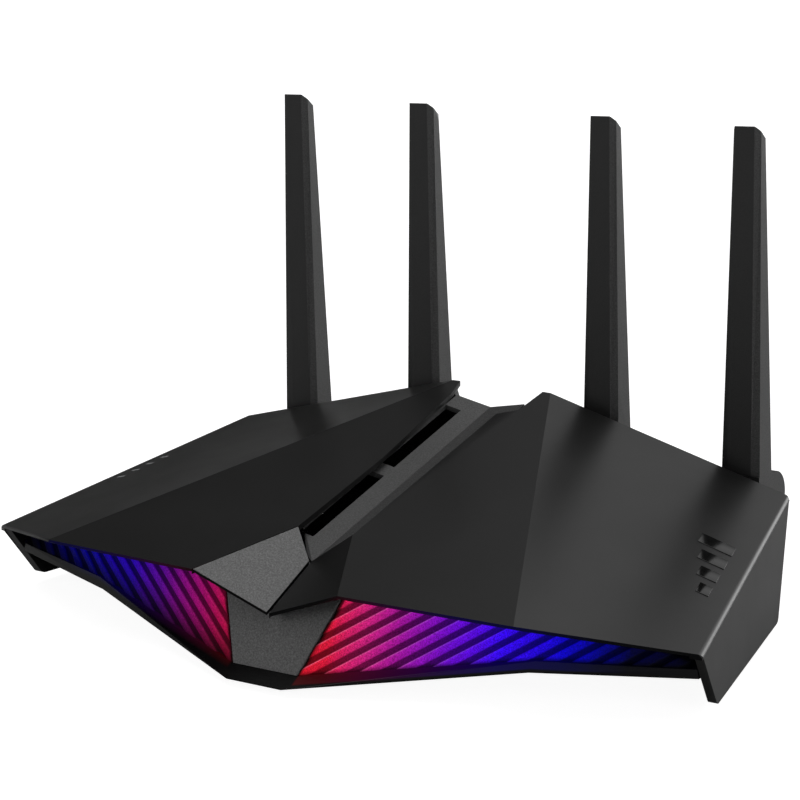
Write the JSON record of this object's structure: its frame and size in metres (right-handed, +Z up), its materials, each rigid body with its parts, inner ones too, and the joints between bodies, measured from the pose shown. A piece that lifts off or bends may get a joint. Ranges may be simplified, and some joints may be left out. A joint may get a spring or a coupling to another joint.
{
  "type": "wireless router",
  "caption": "Low, faceted black desktop router with upright folding blade antennas and glowing ribbed light bars behind a pointed front lip.",
  "frame": {"origin": "middle of the footprint on the surface the feet stand on", "axes": "+X to the right as seen from the front, -Y towards the front, +Z up"},
  "size_m": [0.2754, 0.1844, 0.1653],
  "materials": {
    "cover_black": "satin",
    "gunmetal_panel": "satin",
    "tray_black": "matte",
    "glossy_lip": "gloss",
    "light_bar": "emissive",
    "foot_rubber": "matte",
    "screw_steel": "satin",
    "circuit_board": "satin",
    "can_metal": "satin",
    "pad_grey": "matte",
    "component_black": "matte",
    "sink_aluminium": "satin",
    "jack_black": "matte",
    "wan_blue": "matte",
    "lan_yellow": "matte",
    "contact_gold": "satin",
    "usb_tongue_blue": "matte",
    "button_black": "satin",
    "lens_white": "satin",
    "antenna_black": "satin",
    "lead_jacket": "matte",
    "label_paper": "matte"
  },
  "bodies": {
    "housing": {"left_cover": "cover_black", "right_cover": "cover_black", "accent_panel": "gunmetal_panel", "nose_piece": "gunmetal_panel", "front_trim": "glossy_lip", "left_light_bar": "light_bar", "right_light_bar": "light_bar", "left_led_strip": "circuit_board", "right_led_strip": "circuit_board", "vent_channel": "gunmetal_panel", "base_tray": "tray_black", "rubber_feet": "foot_rubber", "case_screws": "screw_steel", "rear_panel": "tray_black", "status_lenses": "lens_white", "main_board": "circuit_board", "shield_cans": "can_metal", "thermal_pads": "pad_grey", "board_components": "component_black", "board_screws": "screw_steel", "heat_sink": "sink_aluminium", "heat_sink_screws": "screw_steel", "lan_jack": "lan_yellow", "wan_jack": "wan_blue", "jack_contacts": "contact_gold", "usb_socket": "can_metal", "usb_tongue": "usb_tongue_blue", "power_inlet": "jack_black", "button_switches": "component_black", "antenna_leads": "lead_jacket", "rating_label": "label_paper", "antenna_bush_1": "tray_black", "antenna_bush_2": "tray_black", "antenna_bush_3": "tray_black", "antenna_bush_4": "tray_black"},
    "power_button": {"power_button": "button_black"},
    "pairing_button": {"pairing_button": "button_black"},
    "lights_button": {"lights_button": "button_black"},
    "reset_button": {"reset_button": "button_black"},
    "knuckle_1": {"antenna_knuckle_1": "antenna_black"},
    "blade_1": {"antenna_front_shell_1": "antenna_black", "antenna_rear_shell_1": "antenna_black", "antenna_radiator_1": "circuit_board", "hinge_pin_1": "screw_steel"},
    "knuckle_2": {"antenna_knuckle_2": "antenna_black"},
    "blade_2": {"antenna_front_shell_2": "antenna_black", "antenna_rear_shell_2": "antenna_black", "antenna_radiator_2": "circuit_board", "hinge_pin_2": "screw_steel"},
    "knuckle_3": {"antenna_knuckle_3": "antenna_black"},
    "blade_3": {"antenna_front_shell_3": "antenna_black", "antenna_rear_shell_3": "antenna_black", "antenna_radiator_3": "circuit_board", "hinge_pin_3": "screw_steel"},
    "knuckle_4": {"antenna_knuckle_4": "antenna_black"},
    "blade_4": {"antenna_front_shell_4": "antenna_black", "antenna_rear_shell_4": "antenna_black", "antenna_radiator_4": "circuit_board", "hinge_pin_4": "screw_steel"}
  },
  "joints": [
    {"name": "power_press", "type": "slide", "parent": "housing", "child": "power_button", "axis": [0, -1, 0], "range_m": [0, 0.0015], "stiffness_N_per_m": 400},
    {"name": "pairing_press", "type": "slide", "parent": "housing", "child": "pairing_button", "axis": [0, -1, 0], "range_m": [0, 0.0015], "stiffness_N_per_m": 400},
    {"name": "lights_press", "type": "slide", "parent": "housing", "child": "lights_button", "axis": [0, -1, 0], "range_m": [0, 0.0015], "stiffness_N_per_m": 400},
    {"name": "reset_press", "type": "slide", "parent": "housing", "child": "reset_button", "axis": [0, -1, 0], "range_m": [0, 0.0015], "stiffness_N_per_m": 400},
    {"name": "swivel_1", "type": "hinge", "parent": "housing", "child": "knuckle_1", "pos_m": [-0.0917, 0.083, 0.034], "axis": [0, 1, 0], "range_deg": [-90, 15]},
    {"name": "fold_1", "type": "hinge", "parent": "knuckle_1", "child": "blade_1", "pos_m": [-0.0917, 0.083, 0.034], "axis": [-1, 0, 0], "range_deg": [0, 90]},
    {"name": "swivel_2", "type": "hinge", "parent": "housing", "child": "knuckle_2", "pos_m": [-0.037, 0.083, 0.034], "axis": [0, 1, 0], "range_deg": [-15, 15]},
    {"name": "fold_2", "type": "hinge", "parent": "knuckle_2", "child": "blade_2", "pos_m": [-0.037, 0.083, 0.034], "axis": [-1, 0, 0], "range_deg": [0, 90]},
    {"name": "swivel_3", "type": "hinge", "parent": "housing", "child": "knuckle_3", "pos_m": [0.037, 0.083, 0.034], "axis": [0, 1, 0], "range_deg": [-15, 15]},
    {"name": "fold_3", "type": "hinge", "parent": "knuckle_3", "child": "blade_3", "pos_m": [0.037, 0.083, 0.034], "axis": [-1, 0, 0], "range_deg": [0, 90]},
    {"name": "swivel_4", "type": "hinge", "parent": "housing", "child": "knuckle_4", "pos_m": [0.0917, 0.083, 0.034], "axis": [0, 1, 0], "range_deg": [-15, 90]},
    {"name": "fold_4", "type": "hinge", "parent": "knuckle_4", "child": "blade_4", "pos_m": [0.0917, 0.083, 0.034], "axis": [-1, 0, 0], "range_deg": [0, 90]}
  ]
}
